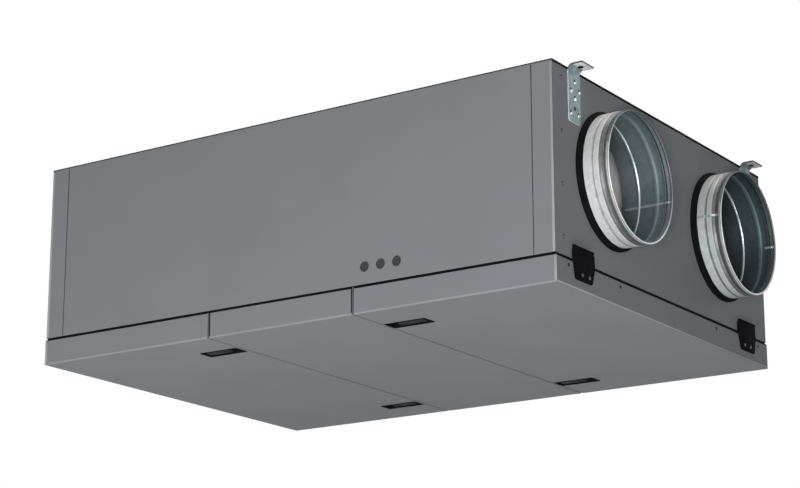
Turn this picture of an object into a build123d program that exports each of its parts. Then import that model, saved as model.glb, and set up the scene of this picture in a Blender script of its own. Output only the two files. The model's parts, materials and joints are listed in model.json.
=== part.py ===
"""Ceiling supply and exhaust ventilation unit with round duct spigots and drop-down service doors."""
from build123d import *
import os

os.makedirs("parts", exist_ok=True)

# Case, measured from the underside of the doors to the top, with X along its length
case_length = 1500.0
case_width = 1073.0
case_height = 518.0
end_thickness = 55.0
side_thickness = 50.0
top_thickness = 50.0
top_flange = 4.0
case_floor = 70.0
seam_chamfer = 0.8

# Service doors and the fixed panel between them
door_rim = 64.0
middle_rim = 67.0
middle_length = 423.0
middle_shift = -6.5
seam_gap = 5.0
door_proud = 2.5
pan_wall = 2.0
liner_drop = 2.0
bend_radius = 2.0

# Seals under the case
seal_clearance = 0.3
seal_inset = 2.0
seal_width = 20.0

# Cross rails that the door ends close against
rail_width = 60.0
rail_height = 30.0
rail_wall = 3.0

# Duct spigots, each with a seal groove behind a rolled rim
spigot_radius = 157.0
rim_radius = 157.5
spigot_wall = 1.5
spigot_reach = 80.0
spigot_front_edge = 262.5
spigot_back_edge = 244.5
spigot_height = 294.0
spigot_fit = 0.3
groove_start = 54.0
groove_middle = 62.0
groove_end = 70.0
groove_depth = 2.5
ring_radius = 164.0
ring_proud = 7.0

# Hanging brackets
bracket_width = 54.0
bracket_front_edge = 96.5
bracket_back_edge = 85.0
bracket_steel = 2.5
bracket_over_axis = 97.0
bracket_reach = 39.0
bracket_rise = 8.0
bracket_bend = 12.0
hanger_hole_radius = 5.5
hanger_hole_out = 20.0
bracket_corner = 8.0

# Hinges
hinge_centre = 122.0
hinge_width = 99.0
hinge_top_width = 94.0
hinge_foot_width = 73.0
hinge_bottom = 23.0
hinge_taper_start = 63.0
hinge_plate_gap = 3.0
hinge_plate_steel = 2.5
hinge_foot_inset = 5.0
pivot_height = 98.0
pivot_out = 4.0
barrel_radius = 3.6
barrel_width = 72.0
pin_radius = 1.8
pin_clearance = 0.06
lug_gap = 1.0
strip_width = 52.0
strip_shift = 3.0
strip_bottom = 27.0
strip_top = 66.0
strip_rise = 1.0
lug_chamfer = 1.8

# Latches
latch_length = 115.0
latch_width = 48.0
latch_depth = 18.0
latch_lip = 1.0
latch_wall = 3.0
latch_edge = 140.0
latch_seam_gap = 4.0
lever_length = 72.0
lever_width = 20.0
lever_thick = 6.0
lever_start_gap = 8.0
lever_nose = 1.5
lever_pin_radius = 1.5
lever_pin_inset = 6.0

# Cable grommets on the front side
grommet_radius = 12.5
grommet_spacing = 45.0
grommet_x = 284.5
grommet_height = 111.0
grommet_count = 3
grommet_lip = 0.6
grommet_fit = 0.3

# Heat exchanger and what stands in the end chambers
exchanger_length = 400.0
exchanger_nose = 120.0
exchanger_border = 14.0
exchanger_recess = 3.0
partition_thickness = 20.0
bay_gap = 16.5
filter_thickness = 48.0
filter_frame = 14.0
filter_media = 3.0
pleat_count = 14

# Fans
fan_plate_thickness = 3.0
fan_inlet_radius = 90.0
fan_gap = 6.0
impeller_radius = 130.0
impeller_sheet = 2.0
blade_count = 7
blade_width = 60.0
blade_length = 66.0
blade_sheet = 3.0
blade_middle_radius = 100.0
blade_lean = -45.0
motor_radius = 50.0
motor_length = 50.0
channel_width = 80.0
channel_depth = 20.0
channel_steel = 3.0

# The hanging point: the hole in the top face of the front bracket at the +X end
hanger_x = case_length / 2 + hanger_hole_out
bracket_front_y = -case_width / 2 + bracket_front_edge
bracket_back_y = case_width / 2 - bracket_back_edge
hanger_y = bracket_front_y
hanger_z = case_height + bracket_rise
to_hanger = Location((-hanger_x, -hanger_y, -hanger_z))

half_length = case_length / 2
half_width = case_width / 2
flange_under = case_height - top_flange
ceiling = case_height - top_thickness
wall_height = flange_under - case_floor
middle_left = middle_shift - middle_length / 2
middle_right = middle_shift + middle_length / 2
door_right_start = middle_right + seam_gap
door_left_end = middle_left - seam_gap
chamber_width = case_width - 2 * side_thickness
rail_top = case_floor + rail_height
spigot_front = (spigot_front_edge - half_width, spigot_height)
spigot_back = (half_width - spigot_back_edge, spigot_height)


def save(piece, name):
    """Name a finished piece and write it with the hanging point as its origin."""
    piece.part.label = name
    export_step(piece.part.moved(to_hanger), f"parts/{name}.step")


# Top panel: a flange over the walls and an insulated core between them
with BuildPart() as top_panel:
    with BuildSketch(Plane.XY.offset(flange_under)):
        Rectangle(case_length, case_width)
    extrude(amount=top_flange)
    with BuildSketch(Plane.XY.offset(ceiling)):
        Rectangle(case_length - 2 * end_thickness, chamber_width)
    extrude(amount=flange_under - ceiling)
save(top_panel, "top_panel")

# Side panels between the end panels, the front one drilled for the cable grommets
for side, name in ((-1, "front_panel"), (1, "back_panel")):
    with BuildPart() as side_panel:
        with BuildSketch(Plane.XY.offset(case_floor)):
            with Locations((0, side * (half_width - side_thickness / 2))):
                Rectangle(case_length - 2 * end_thickness, side_thickness)
        extrude(amount=wall_height)
        outer = side_panel.faces().sort_by(Axis.Y)[0 if side < 0 else -1]
        chamfer(outer.edges().filter_by(Axis.Z), seam_chamfer)
        if side < 0:
            with BuildSketch(Plane.XZ.offset(half_width)):
                with Locations((grommet_x, grommet_height)):
                    with GridLocations(grommet_spacing, 1, grommet_count, 1):
                        Circle(grommet_radius)
            extrude(amount=-side_thickness, mode=Mode.SUBTRACT)
    save(side_panel, name)

# End panels across the full width, each with two round holes for the spigots
for end, name in ((1, "end_panel_right"), (-1, "end_panel_left")):
    with BuildPart() as end_panel:
        with BuildSketch(Plane.XY.offset(case_floor)):
            with Locations((end * (half_length - end_thickness / 2), 0)):
                Rectangle(end_thickness, case_width)
        extrude(amount=wall_height)
        outer = end_panel.faces().sort_by(Axis.X)[-1 if end > 0 else 0]
        chamfer(outer.edges().filter_by(Axis.Z), seam_chamfer)
        with BuildSketch(Plane.YZ.offset(end * half_length)):
            with Locations(spigot_front, spigot_back):
                Circle(spigot_radius + spigot_fit)
        extrude(amount=-end * end_thickness, mode=Mode.SUBTRACT)
    save(end_panel, name)

# Cross rails: folded channels from front to back over the panel seams
with BuildPart() as cross_rails:
    for seam_x in (door_left_end + seam_gap / 2, door_right_start - seam_gap / 2):
        with BuildSketch(Plane.XZ.offset(-chamber_width / 2)):
            with Locations((seam_x, case_floor + rail_height / 2)):
                Rectangle(rail_width, rail_height)
            with Locations((seam_x, case_floor + rail_height / 2 + rail_wall)):
                Rectangle(rail_width - 2 * rail_wall, rail_height, mode=Mode.SUBTRACT)
        extrude(amount=chamber_width)
save(cross_rails, "cross_rails")

# Seals: one flat frame over each door and one over the middle panel
door_end = half_length - seal_inset
seal_right = (door_right_start, door_end, door_rim + seal_clearance)
seal_left = (-door_end, door_left_end, door_rim + seal_clearance)
seal_middle = (middle_left, middle_right, middle_rim)
with BuildPart() as door_seals:
    for start, stop, seal_bottom in (seal_left, seal_middle, seal_right):
        with BuildSketch(Plane.XY.offset(seal_bottom)):
            with Locations(((start + stop) / 2, 0)):
                Rectangle(stop - start, case_width - 2 * seal_inset)
                Rectangle(
                    stop - start - 2 * seal_width,
                    case_width - 2 * seal_inset - 2 * seal_width,
                    mode=Mode.SUBTRACT,
                )
        extrude(amount=case_floor - seal_bottom)
save(door_seals, "door_seals")


def pan_and_liner(start, stop, width, rim, latch_places):
    """A folded outer tray open at the top, and the insulated liner that fills it."""
    middle = (start + stop) / 2
    length = stop - start
    with BuildPart() as pan:
        with BuildSketch():
            with Locations((middle, 0)):
                Rectangle(length, width)
        extrude(amount=rim)
        fillet(pan.faces().sort_by(Axis.Z)[0].edges(), bend_radius)
        with BuildSketch(Plane.XY.offset(pan_wall)):
            with Locations((middle, 0)):
                Rectangle(length - 2 * pan_wall, width - 2 * pan_wall)
        extrude(amount=rim, mode=Mode.SUBTRACT)
        if latch_places:
            with BuildSketch():
                with Locations(*latch_places):
                    Rectangle(latch_length - 2 * latch_lip, latch_width - 2 * latch_lip)
            extrude(amount=pan_wall, mode=Mode.SUBTRACT)
    with BuildPart() as liner:
        with BuildSketch(Plane.XY.offset(pan_wall)):
            with Locations((middle, 0)):
                Rectangle(length - 2 * pan_wall, width - 2 * pan_wall)
        extrude(amount=rim - liner_drop - pan_wall)
        if latch_places:
            with BuildSketch(Plane.XY.offset(pan_wall)):
                with Locations(*latch_places):
                    Rectangle(latch_length - 2 * latch_lip, latch_width - 2 * latch_lip)
            extrude(amount=latch_depth - pan_wall, mode=Mode.SUBTRACT)
    return pan, liner


# Middle panel, fixed, and the two service doors
latch_y = half_width - latch_edge
latch_right_x = door_right_start + latch_seam_gap + latch_length / 2
latch_left_x = door_left_end - latch_seam_gap - latch_length / 2
right_latches = [(latch_right_x, -latch_y), (latch_right_x, latch_y)]
left_latches = [(latch_left_x, -latch_y), (latch_left_x, latch_y)]
panels = (
    ("middle", middle_left, middle_right, middle_rim, []),
    ("door_right", door_right_start, half_length + door_proud, door_rim, right_latches),
    ("door_left", -half_length - door_proud, door_left_end, door_rim, left_latches),
)
for name, start, stop, rim, latch_places in panels:
    pan, liner = pan_and_liner(start, stop, case_width, rim, latch_places)
    save(pan, f"{name}_pan")
    save(liner, f"{name}_liner")

# Latches: two flush trays in each door, each with a pin across it that its lever is notched over,
# the front lever pointing to the seam beside it and the back one away from it
tray_length = latch_length - 2 * latch_lip
tray_width = latch_width - 2 * latch_lip
lever_middle = lever_thick / 2
lever_notch = 2 * (lever_pin_radius + pin_clearance)
lever_start = tray_length / 2 - latch_wall - lever_start_gap
pin_offset = lever_start - lever_pin_inset
for name, end, latch_places in (("right", 1, right_latches), ("left", -1, left_latches)):
    pointing = (-end, end)
    with BuildPart() as latch_trays:
        with BuildSketch(Plane.XY.offset(-latch_lip)):
            with Locations(*latch_places):
                Rectangle(latch_length, latch_width)
        extrude(amount=latch_lip)
        with BuildSketch():
            with Locations(*latch_places):
                Rectangle(tray_length, tray_width)
        extrude(amount=latch_depth)
        with BuildSketch(Plane.XY.offset(-latch_lip)):
            with Locations(*latch_places):
                Rectangle(tray_length - 2 * latch_wall, tray_width - 2 * latch_wall)
        extrude(amount=latch_depth + latch_lip - latch_wall, mode=Mode.SUBTRACT)
        for (x, y), forward in zip(latch_places, pointing):
            with BuildSketch(Plane.XZ.offset(-y)):
                with Locations((x - forward * pin_offset, lever_middle)):
                    Circle(lever_pin_radius)
            extrude(amount=tray_width / 2 - latch_wall, both=True)
    save(latch_trays, f"latch_trays_{name}")
    for (x, y), forward, place in zip(latch_places, pointing, ("front", "back")):
        with BuildPart() as latch_lever:
            with BuildSketch(Plane.XZ.offset(-y)) as lever_side:
                with Locations((x - forward * (lever_start - lever_length / 2), lever_middle)):
                    Rectangle(lever_length, lever_thick)
                chamfer(lever_side.vertices(), lever_nose)
                with Locations((x - forward * pin_offset, lever_middle - lever_notch / 2)):
                    Rectangle(lever_notch, lever_thick, align=(Align.CENTER, Align.MIN), mode=Mode.SUBTRACT)
            extrude(amount=lever_width / 2, both=True)
        save(latch_lever, f"latch_lever_{place}_{name}")

# Spigots: revolved sheet tubes with a seal groove and a rolled rim at the mouth
mouth_radius = spigot_radius - groove_depth - spigot_wall
spigot_outline = (
    (-end_thickness, spigot_radius - spigot_wall),
    (-end_thickness, spigot_radius),
    (groove_start, spigot_radius),
    (groove_middle, spigot_radius - groove_depth),
    (groove_end, rim_radius),
    (spigot_reach, rim_radius),
    (spigot_reach, mouth_radius),
    (groove_middle, mouth_radius),
    (groove_start, spigot_radius - spigot_wall),
)
with BuildPart() as duct_spigots:
    for end in (1, -1):
        for y, z in (spigot_front, spigot_back):
            axis_plane = Plane(origin=(end * half_length, y, z), x_dir=(end, 0, 0), z_dir=(0, -1, 0))
            with BuildSketch(axis_plane):
                with BuildLine():
                    Polyline(*spigot_outline, close=True)
                make_face()
            revolve(axis=Axis(axis_plane.origin, (end, 0, 0)))
save(duct_spigots, "duct_spigots")

# Rubber rings where the spigots leave the end panels
with BuildPart() as spigot_rings:
    for end in (1, -1):
        with BuildSketch(Plane.YZ.offset(end * half_length)):
            with Locations(spigot_front, spigot_back):
                Circle(ring_radius)
                Circle(spigot_radius + spigot_fit, mode=Mode.SUBTRACT)
        extrude(amount=end * ring_proud)
save(spigot_rings, "spigot_rings")

# Hanging brackets: a leg down the end face and a flange outward over the top edge
leg_bottom = spigot_height + bracket_over_axis
flange_top = case_height + bracket_rise
corners = [(end, side) for end in (1, -1) for side in (-1, 1)]
bracket_y = {-1: bracket_front_y, 1: bracket_back_y}
bracket_outline = (
    (half_length, leg_bottom),
    (half_length, flange_top),
    (half_length + bracket_reach, flange_top),
    (half_length + bracket_reach, flange_top - bracket_steel),
    (half_length + bracket_steel, flange_top - bracket_steel),
    (half_length + bracket_steel, leg_bottom),
)
with BuildPart() as hanging_brackets:
    for end, side in corners:
        with BuildSketch(Plane(origin=(0, bracket_y[side], 0), x_dir=(end, 0, 0), z_dir=(0, -end, 0))):
            with BuildLine():
                Polyline(*bracket_outline, close=True)
            make_face()
        extrude(amount=bracket_width / 2, both=True)
    for group, radius in ((-2, bracket_bend - bracket_steel), (-1, bracket_bend)):
        across = hanging_brackets.edges().filter_by(Axis.Y).group_by(Axis.Z)[group]
        bends = across.sort_by(lambda edge: abs(edge.center().X))[: len(corners)]
        fillet(bends, radius)
    fillet(hanging_brackets.edges().filter_by(Axis.X).group_by(Axis.Z)[0], bracket_corner)
    with BuildSketch(Plane.XY.offset(flange_top)):
        with Locations(*[(end * hanger_x, bracket_y[side]) for end, side in corners]):
            Circle(hanger_hole_radius)
    extrude(amount=-2 * bracket_steel, mode=Mode.SUBTRACT)
save(hanging_brackets, "hanging_brackets")

# Hinge pins: each one runs between two lugs on the end panel
pivot_x = half_length + pivot_out
hinge_y = half_width - hinge_centre
with BuildPart() as hinge_pins:
    for end, side in corners:
        side_view = Plane(origin=(0, side * hinge_y, 0), x_dir=(end, 0, 0), z_dir=(0, -end, 0))
        with BuildSketch(side_view) as lug_side:
            with Locations((half_length, pivot_height)):
                Rectangle(pivot_out + barrel_radius, 2 * barrel_radius, align=(Align.MIN, Align.CENTER))
            chamfer(lug_side.vertices().group_by(Axis.X)[-1], lug_chamfer)
        extrude(amount=hinge_top_width / 2, both=True)
        with BuildSketch(side_view):
            with Locations((pivot_x, pivot_height)):
                Rectangle(4 * barrel_radius, 4 * barrel_radius)
        extrude(amount=barrel_width / 2 + lug_gap, both=True, mode=Mode.SUBTRACT)
        with BuildSketch(side_view):
            with Locations((pivot_x, pivot_height)):
                Circle(pin_radius)
        extrude(amount=hinge_top_width / 2, both=True)
save(hinge_pins, "hinge_pins")

# Hinge plates: shields on the door ends, each rolled into a barrel round its pin
plate_outer = half_length + hinge_plate_gap + hinge_plate_steel
plate_top = pivot_height - barrel_radius - lug_gap
foot_width = hinge_foot_width - 2 * hinge_foot_inset
foot_height = door_rim - hinge_bottom - hinge_foot_inset
for name, end in (("right", 1), ("left", -1)):
    with BuildPart() as hinge_plates:
        for side in (-1, 1):
            y = side * hinge_y
            side_view = Plane(origin=(0, y, 0), x_dir=(end, 0, 0), z_dir=(0, -end, 0))
            front_view = Plane(origin=(end * plate_outer, y, 0), x_dir=(0, end, 0), z_dir=(end, 0, 0))
            with BuildSketch(front_view):
                with BuildLine():
                    Polyline(
                        (-hinge_top_width / 2, plate_top),
                        (-hinge_width / 2, hinge_taper_start),
                        (-hinge_foot_width / 2, hinge_bottom),
                        (hinge_foot_width / 2, hinge_bottom),
                        (hinge_width / 2, hinge_taper_start),
                        (hinge_top_width / 2, plate_top),
                        close=True,
                    )
                make_face()
            extrude(amount=-hinge_plate_steel)
            with BuildSketch(front_view):
                with Locations((0, (hinge_bottom + door_rim) / 2)):
                    Rectangle(foot_width, foot_height)
            extrude(amount=-(plate_outer - half_length - door_proud))
            with BuildSketch(front_view):
                with Locations((-side * end * strip_shift, (strip_bottom + strip_top) / 2)):
                    Rectangle(strip_width, strip_top - strip_bottom)
            extrude(amount=strip_rise)
            with BuildSketch(side_view):
                with Locations((pivot_x, pivot_height)):
                    Circle(barrel_radius)
                with Locations((half_length + hinge_plate_gap, pivot_height)):
                    Rectangle(hinge_plate_steel, 2 * barrel_radius, align=(Align.MIN, Align.MAX))
            extrude(amount=barrel_width / 2, both=True)
            with BuildSketch(side_view):
                with Locations((pivot_x, pivot_height)):
                    Circle(pin_radius + pin_clearance)
            extrude(amount=hinge_width / 2, both=True, mode=Mode.SUBTRACT)
    save(hinge_plates, f"hinge_plates_{name}")

# Cable grommets: flush rubber plugs in the front panel
with BuildPart() as cable_grommets:
    with BuildSketch(Plane.XZ.offset(half_width + grommet_lip)):
        with Locations((grommet_x, grommet_height)):
            with GridLocations(grommet_spacing, 1, grommet_count, 1):
                Circle(grommet_radius - grommet_fit)
    extrude(amount=-(side_thickness + grommet_lip))
save(cable_grommets, "cable_grommets")

# Heat exchanger: a block with a six-sided plan on the cross rails, framed at its four slanted faces
exchanger_right = middle_shift + exchanger_length / 2
exchanger_left = middle_shift - exchanger_length / 2
nose_right = exchanger_right + exchanger_nose
nose_left = exchanger_left - exchanger_nose
exchanger_height = ceiling - rail_top
with BuildPart() as heat_exchanger:
    with BuildSketch(Plane.XY.offset(rail_top)):
        with BuildLine():
            Polyline(
                (nose_left, 0),
                (exchanger_left, -chamber_width / 2),
                (exchanger_right, -chamber_width / 2),
                (nose_right, 0),
                (exchanger_right, chamber_width / 2),
                (exchanger_left, chamber_width / 2),
                close=True,
            )
        make_face()
    extrude(amount=exchanger_height)
    air_faces = heat_exchanger.faces().filter_by(lambda face: abs(face.normal_at().X) > 0.1)
    air_face_width = Vector(exchanger_nose, chamber_width / 2).length
    for face in air_faces:
        with BuildSketch(Plane(origin=face.center(), x_dir=(0, 0, 1), z_dir=face.normal_at())):
            Rectangle(exchanger_height - 2 * exchanger_border, air_face_width - 2 * exchanger_border)
        extrude(amount=-exchanger_recess, mode=Mode.SUBTRACT)
save(heat_exchanger, "heat_exchanger")

# Partitions from the exchanger's noses to the end panels
inner_end = half_length - end_thickness
with BuildPart() as partitions:
    for start, stop in ((-inner_end, nose_left), (nose_right, inner_end)):
        with BuildSketch(Plane.XY.offset(case_floor)):
            with Locations(((start + stop) / 2, 0)):
                Rectangle(stop - start, partition_thickness)
        extrude(amount=ceiling - case_floor)
save(partitions, "partitions")

# Pleated filters across the front bays
bay_width = chamber_width / 2 - partition_thickness / 2
bay_height = ceiling - case_floor
bay_y = partition_thickness / 2 + bay_width / 2
bay_z = (case_floor + ceiling) / 2
bays = (("right", 1, nose_right + bay_gap), ("left", -1, nose_left - bay_gap))
pleat_step = (bay_width - 2 * filter_frame) / (2 * pleat_count)
pleat_start = -bay_y - bay_width / 2 + filter_frame
for name, end, bay_start in bays:
    crests = [
        (bay_start + end * (i % 2) * (filter_thickness - filter_media), pleat_start + i * pleat_step)
        for i in range(2 * pleat_count + 1)
    ]
    behind = [(x + end * filter_media, y) for x, y in reversed(crests)]
    with BuildPart() as air_filter:
        with BuildSketch(Plane.YZ.offset(bay_start)):
            with Locations((-bay_y, bay_z)):
                Rectangle(bay_width, bay_height)
                Rectangle(bay_width - 2 * filter_frame, bay_height - 2 * filter_frame, mode=Mode.SUBTRACT)
        extrude(amount=end * filter_thickness)
        with BuildSketch(Plane.XY.offset(case_floor + filter_frame)):
            with BuildLine():
                Polyline(*crests, *behind, close=True)
            make_face()
        extrude(amount=bay_height - 2 * filter_frame)
    save(air_filter, f"filter_{name}")

# Fan plates across the back bays, each with a round inlet
with BuildPart() as fan_plates:
    for _, end, bay_start in bays:
        with BuildSketch(Plane.YZ.offset(bay_start)):
            with Locations((bay_y, bay_z)):
                Rectangle(bay_width, bay_height)
                Circle(fan_inlet_radius, mode=Mode.SUBTRACT)
        extrude(amount=end * fan_plate_thickness)
save(fan_plates, "fan_plates")

# Fans: an impeller with backward-leaning blades, on a motor held by a channel from floor to top panel
with BuildPart() as fans:
    for _, end, bay_start in bays:
        inlet = Plane(
            origin=(bay_start + end * (fan_plate_thickness + fan_gap), bay_y, bay_z),
            x_dir=(0, end, 0),
            z_dir=(end, 0, 0),
        )
        with BuildSketch(inlet):
            with PolarLocations(blade_middle_radius, blade_count):
                Rectangle(blade_length, blade_sheet, rotation=blade_lean)
        extrude(amount=blade_width)
        hub_back = inlet.offset(blade_width)
        with BuildSketch(hub_back):
            Circle(impeller_radius)
        extrude(amount=impeller_sheet)
        with BuildSketch(hub_back):
            Circle(motor_radius)
        extrude(amount=impeller_sheet + motor_length)
        with BuildSketch(hub_back.offset(impeller_sheet + motor_length)):
            Rectangle(channel_width, bay_height)
        extrude(amount=channel_depth)
        with BuildSketch(hub_back.offset(impeller_sheet + motor_length + channel_steel)):
            Rectangle(channel_width - 2 * channel_steel, bay_height)
        extrude(amount=channel_depth - channel_steel, mode=Mode.SUBTRACT)
save(fans, "fans")
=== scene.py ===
"""Looks, light and camera of the ceiling ventilation unit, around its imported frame."""
import json
from math import cos, exp, pi, radians, sin, sqrt, tau

import bmesh
import bpy
from mathutils import Matrix, Vector


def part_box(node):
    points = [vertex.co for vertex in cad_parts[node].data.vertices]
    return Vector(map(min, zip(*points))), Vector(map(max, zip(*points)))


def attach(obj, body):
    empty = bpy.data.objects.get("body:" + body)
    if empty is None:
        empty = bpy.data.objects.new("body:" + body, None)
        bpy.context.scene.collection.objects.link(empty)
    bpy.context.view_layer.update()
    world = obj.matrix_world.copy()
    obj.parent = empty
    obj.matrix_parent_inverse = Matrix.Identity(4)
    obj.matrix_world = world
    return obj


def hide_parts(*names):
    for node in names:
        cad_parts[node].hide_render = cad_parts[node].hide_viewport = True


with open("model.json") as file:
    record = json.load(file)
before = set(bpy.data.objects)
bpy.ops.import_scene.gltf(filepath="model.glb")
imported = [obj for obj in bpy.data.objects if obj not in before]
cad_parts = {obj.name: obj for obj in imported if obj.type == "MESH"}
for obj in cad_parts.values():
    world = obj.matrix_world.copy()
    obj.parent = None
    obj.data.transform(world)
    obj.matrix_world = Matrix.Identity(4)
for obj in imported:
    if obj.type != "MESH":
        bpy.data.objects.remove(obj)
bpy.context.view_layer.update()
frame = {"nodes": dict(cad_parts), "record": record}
nodes = frame["nodes"]

MM = 0.001
CORNERS = (
    ("front_right", 1, -1),
    ("back_right", 1, 1),
    ("front_left", -1, -1),
    ("back_left", -1, 1),
)
ENDS = (("right", 1), ("left", -1))
SIDES = (("front", -1), ("back", 1))
FLAT = Matrix.Identity(3)

# The case as the frame holds it. Pieces are modelled in millimetres from the plan's centre,
# with z measured up from the doors' underside.
top_low, top_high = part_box("top_panel")
door_low, door_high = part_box("door_right_pan")
PLAN_CENTRE = Vector(((top_low.x + top_high.x) / 2, (top_low.y + top_high.y) / 2, door_low.z))


def from_plan(point):
    """A point of the frame in millimetres from the plan's centre."""
    return (Vector(point) - PLAN_CENTRE) / MM


def node_box(node):
    """A node's lowest and highest corners, in millimetres from the plan's centre."""
    low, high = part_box(node)
    return from_plan(low), from_plan(high)


HALF_LENGTH = from_plan(top_high).x
HALF_WIDTH = from_plan(top_high).y
CASE_HEIGHT = from_plan(top_high).z
DOOR_END = from_plan(door_high).x
PIVOTS = {joint["name"]: from_plan(joint["pos_m"]) for joint in frame["record"]["behaviour"]["joints"]}


def evenly(start, stop, count):
    """Evenly spaced numbers, the first and last of them start and stop."""
    return [start + (stop - start) * i / (count - 1) for i in range(count)]


# Shader helpers

EDGE_SAMPLES = 6

# Painted shade on tubes along X: lighter towards their lower front and darker towards their upper back,
# between these shares of their radius
LIT_SIDE = Vector((0, -0.6, -0.8))
FADE_START = -0.6
FADE_STOP = 0.8


def tint(colour, share):
    return tuple(c * share for c in colour)


def new_material(name, colour, roughness, metallic=0.0):
    """A material with its node tree, its shader and the object's own coordinates."""
    material = bpy.data.materials.new(name)
    material.use_nodes = True
    tree = material.node_tree
    shader = tree.nodes["Principled BSDF"]
    shader.inputs["Base Color"].default_value = (*colour, 1)
    shader.inputs["Roughness"].default_value = roughness
    shader.inputs["Metallic"].default_value = metallic
    coordinates = tree.nodes.new("ShaderNodeTexCoord").outputs["Object"]
    return material, tree, shader, coordinates


def noise(tree, coordinates, scale, detail=2.0):
    """Soft clouds between 0 and 1."""
    node = tree.nodes.new("ShaderNodeTexNoise")
    node.inputs["Scale"].default_value = scale
    node.inputs["Detail"].default_value = detail
    tree.links.new(coordinates, node.inputs["Vector"])
    return node.outputs["Fac"]


def cells(tree, coordinates, scale):
    """Crystals, each with a level of its own."""
    node = tree.nodes.new("ShaderNodeTexVoronoi")
    node.inputs["Scale"].default_value = scale
    tree.links.new(coordinates, node.inputs["Vector"])
    return node.outputs["Color"]


def spread(tree, value, low, high, start=0.0, stop=1.0):
    """value's range from start to stop as a number between low and high."""
    node = tree.nodes.new("ShaderNodeMapRange")
    node.inputs["From Min"].default_value = start
    node.inputs["From Max"].default_value = stop
    node.inputs["To Min"].default_value = low
    node.inputs["To Max"].default_value = high
    tree.links.new(value, node.inputs["Value"])
    return node.outputs["Result"]


def blend_colours(tree, share, first, second):
    """A mix of a colour with a second one, which may also be another node's output."""
    node = tree.nodes.new("ShaderNodeMix")
    node.data_type = "RGBA"
    node.inputs["A"].default_value = (*first, 1)
    if isinstance(second, bpy.types.NodeSocket):
        tree.links.new(second, node.inputs["B"])
    else:
        node.inputs["B"].default_value = (*second, 1)
    tree.links.new(share, node.inputs["Factor"])
    return node.outputs["Result"]


def across_tube(tree, coordinates, axis_y, axis_z, radius):
    """From 0 at the upper back of a tube along X to 1 at its lower front."""
    away = tree.nodes.new("ShaderNodeVectorMath")
    away.operation = "SUBTRACT"
    away.inputs[1].default_value = (0, axis_y, axis_z)
    tree.links.new(coordinates, away.inputs[0])
    share = tree.nodes.new("ShaderNodeVectorMath")
    share.operation = "DOT_PRODUCT"
    share.inputs[1].default_value = LIT_SIDE / radius
    tree.links.new(away.outputs["Vector"], share.inputs[0])
    return spread(tree, share.outputs["Value"], 0.0, 1.0, FADE_START, FADE_STOP)


def add_bump(tree, shader, heights, round_edges=0.0):
    """Bumps from pairs of a height and its depth in metres, on edges rounded by the shader."""
    normal = None
    if round_edges:
        edge = tree.nodes.new("ShaderNodeBevel")
        edge.samples = EDGE_SAMPLES
        edge.inputs["Radius"].default_value = round_edges
        normal = edge.outputs["Normal"]
    for height, depth in heights:
        node = tree.nodes.new("ShaderNodeBump")
        node.inputs["Distance"].default_value = depth
        tree.links.new(height, node.inputs["Height"])
        if normal:
            tree.links.new(normal, node.inputs["Normal"])
        normal = node.outputs["Normal"]
    tree.links.new(normal, shader.inputs["Normal"])


# Materials. Depths and edge radii are in metres, scales in cells or clouds per metre.

SHEET_EDGE = 0.0014
SPANGLE_SCALE = 110.0
FINE_SPANGLE_SCALE = 330.0


def coated_steel(name, colour, round_edges=SHEET_EDGE):
    """Pre-painted steel sheet with a faint cloudiness and a fine-grained film."""
    material, tree, shader, where = new_material(name, colour, 0.5)
    cloud = spread(tree, noise(tree, where, 5.0, 4.0), 0.0, 1.0, 0.3, 0.7)
    paint = blend_colours(tree, cloud, tint(colour, 0.97), tint(colour, 1.03))
    tree.links.new(paint, shader.inputs["Base Color"])
    grain = noise(tree, where, 900.0, 3.0)
    tree.links.new(spread(tree, grain, 0.42, 0.58), shader.inputs["Roughness"])
    shader.inputs["Specular IOR Level"].default_value = 0.12
    add_bump(tree, shader, [(grain, 0.00012), (noise(tree, where, 9.0), 0.0012)], round_edges)
    return material


def zinc(name, colour, rough, wave_depth, metallic=1.0, contrast=0.2, tube=None, gloss=0.5):
    """Galvanised sheet in light and dark crystals, its roughness between the two values of rough.

    A tube, given as the tone of its upper back and its axis, fades from that tone, a painted shade on its
    upper back.
    """
    material, tree, shader, where = new_material(name, colour, 0.3, metallic)
    shader.inputs["Specular IOR Level"].default_value = gloss
    spangle = cells(tree, where, SPANGLE_SCALE)
    grey = spread(tree, spangle, 0.0, 1.0, 0.15, 0.85)
    tone = blend_colours(tree, grey, tint(colour, 1 - contrast), colour)
    if tube:
        shade_tone, axis = tube
        tone = blend_colours(tree, across_tube(tree, where, *axis), shade_tone, tone)
    tree.links.new(tone, shader.inputs["Base Color"])
    fine = cells(tree, where, FINE_SPANGLE_SCALE)
    tree.links.new(spread(tree, fine, *rough), shader.inputs["Roughness"])
    waves = noise(tree, where, 14.0, 3.0)
    add_bump(tree, shader, [(waves, wave_depth), (spangle, 0.00008)], 0.0004)
    return material


def dull_black(name, colour, roughness, grain_scale=500.0, grain_depth=0.00005, gloss=0.5):
    """Moulded rubber, plastic or blackened metal with a fine grain and slightly worn, paler patches."""
    material, tree, shader, where = new_material(name, colour, roughness)
    shader.inputs["Specular IOR Level"].default_value = gloss
    wear = spread(tree, noise(tree, where, 30.0, 4.0), 0.0, 1.0, 0.35, 0.75)
    paler = tuple(c * 1.35 + 0.002 for c in colour)
    tree.links.new(blend_colours(tree, wear, colour, paler), shader.inputs["Base Color"])
    grain = noise(tree, where, grain_scale, 2.0)
    tree.links.new(spread(tree, grain, roughness - 0.07, roughness + 0.07), shader.inputs["Roughness"])
    add_bump(tree, shader, [(grain, grain_depth)], 0.0006)
    return material


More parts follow.
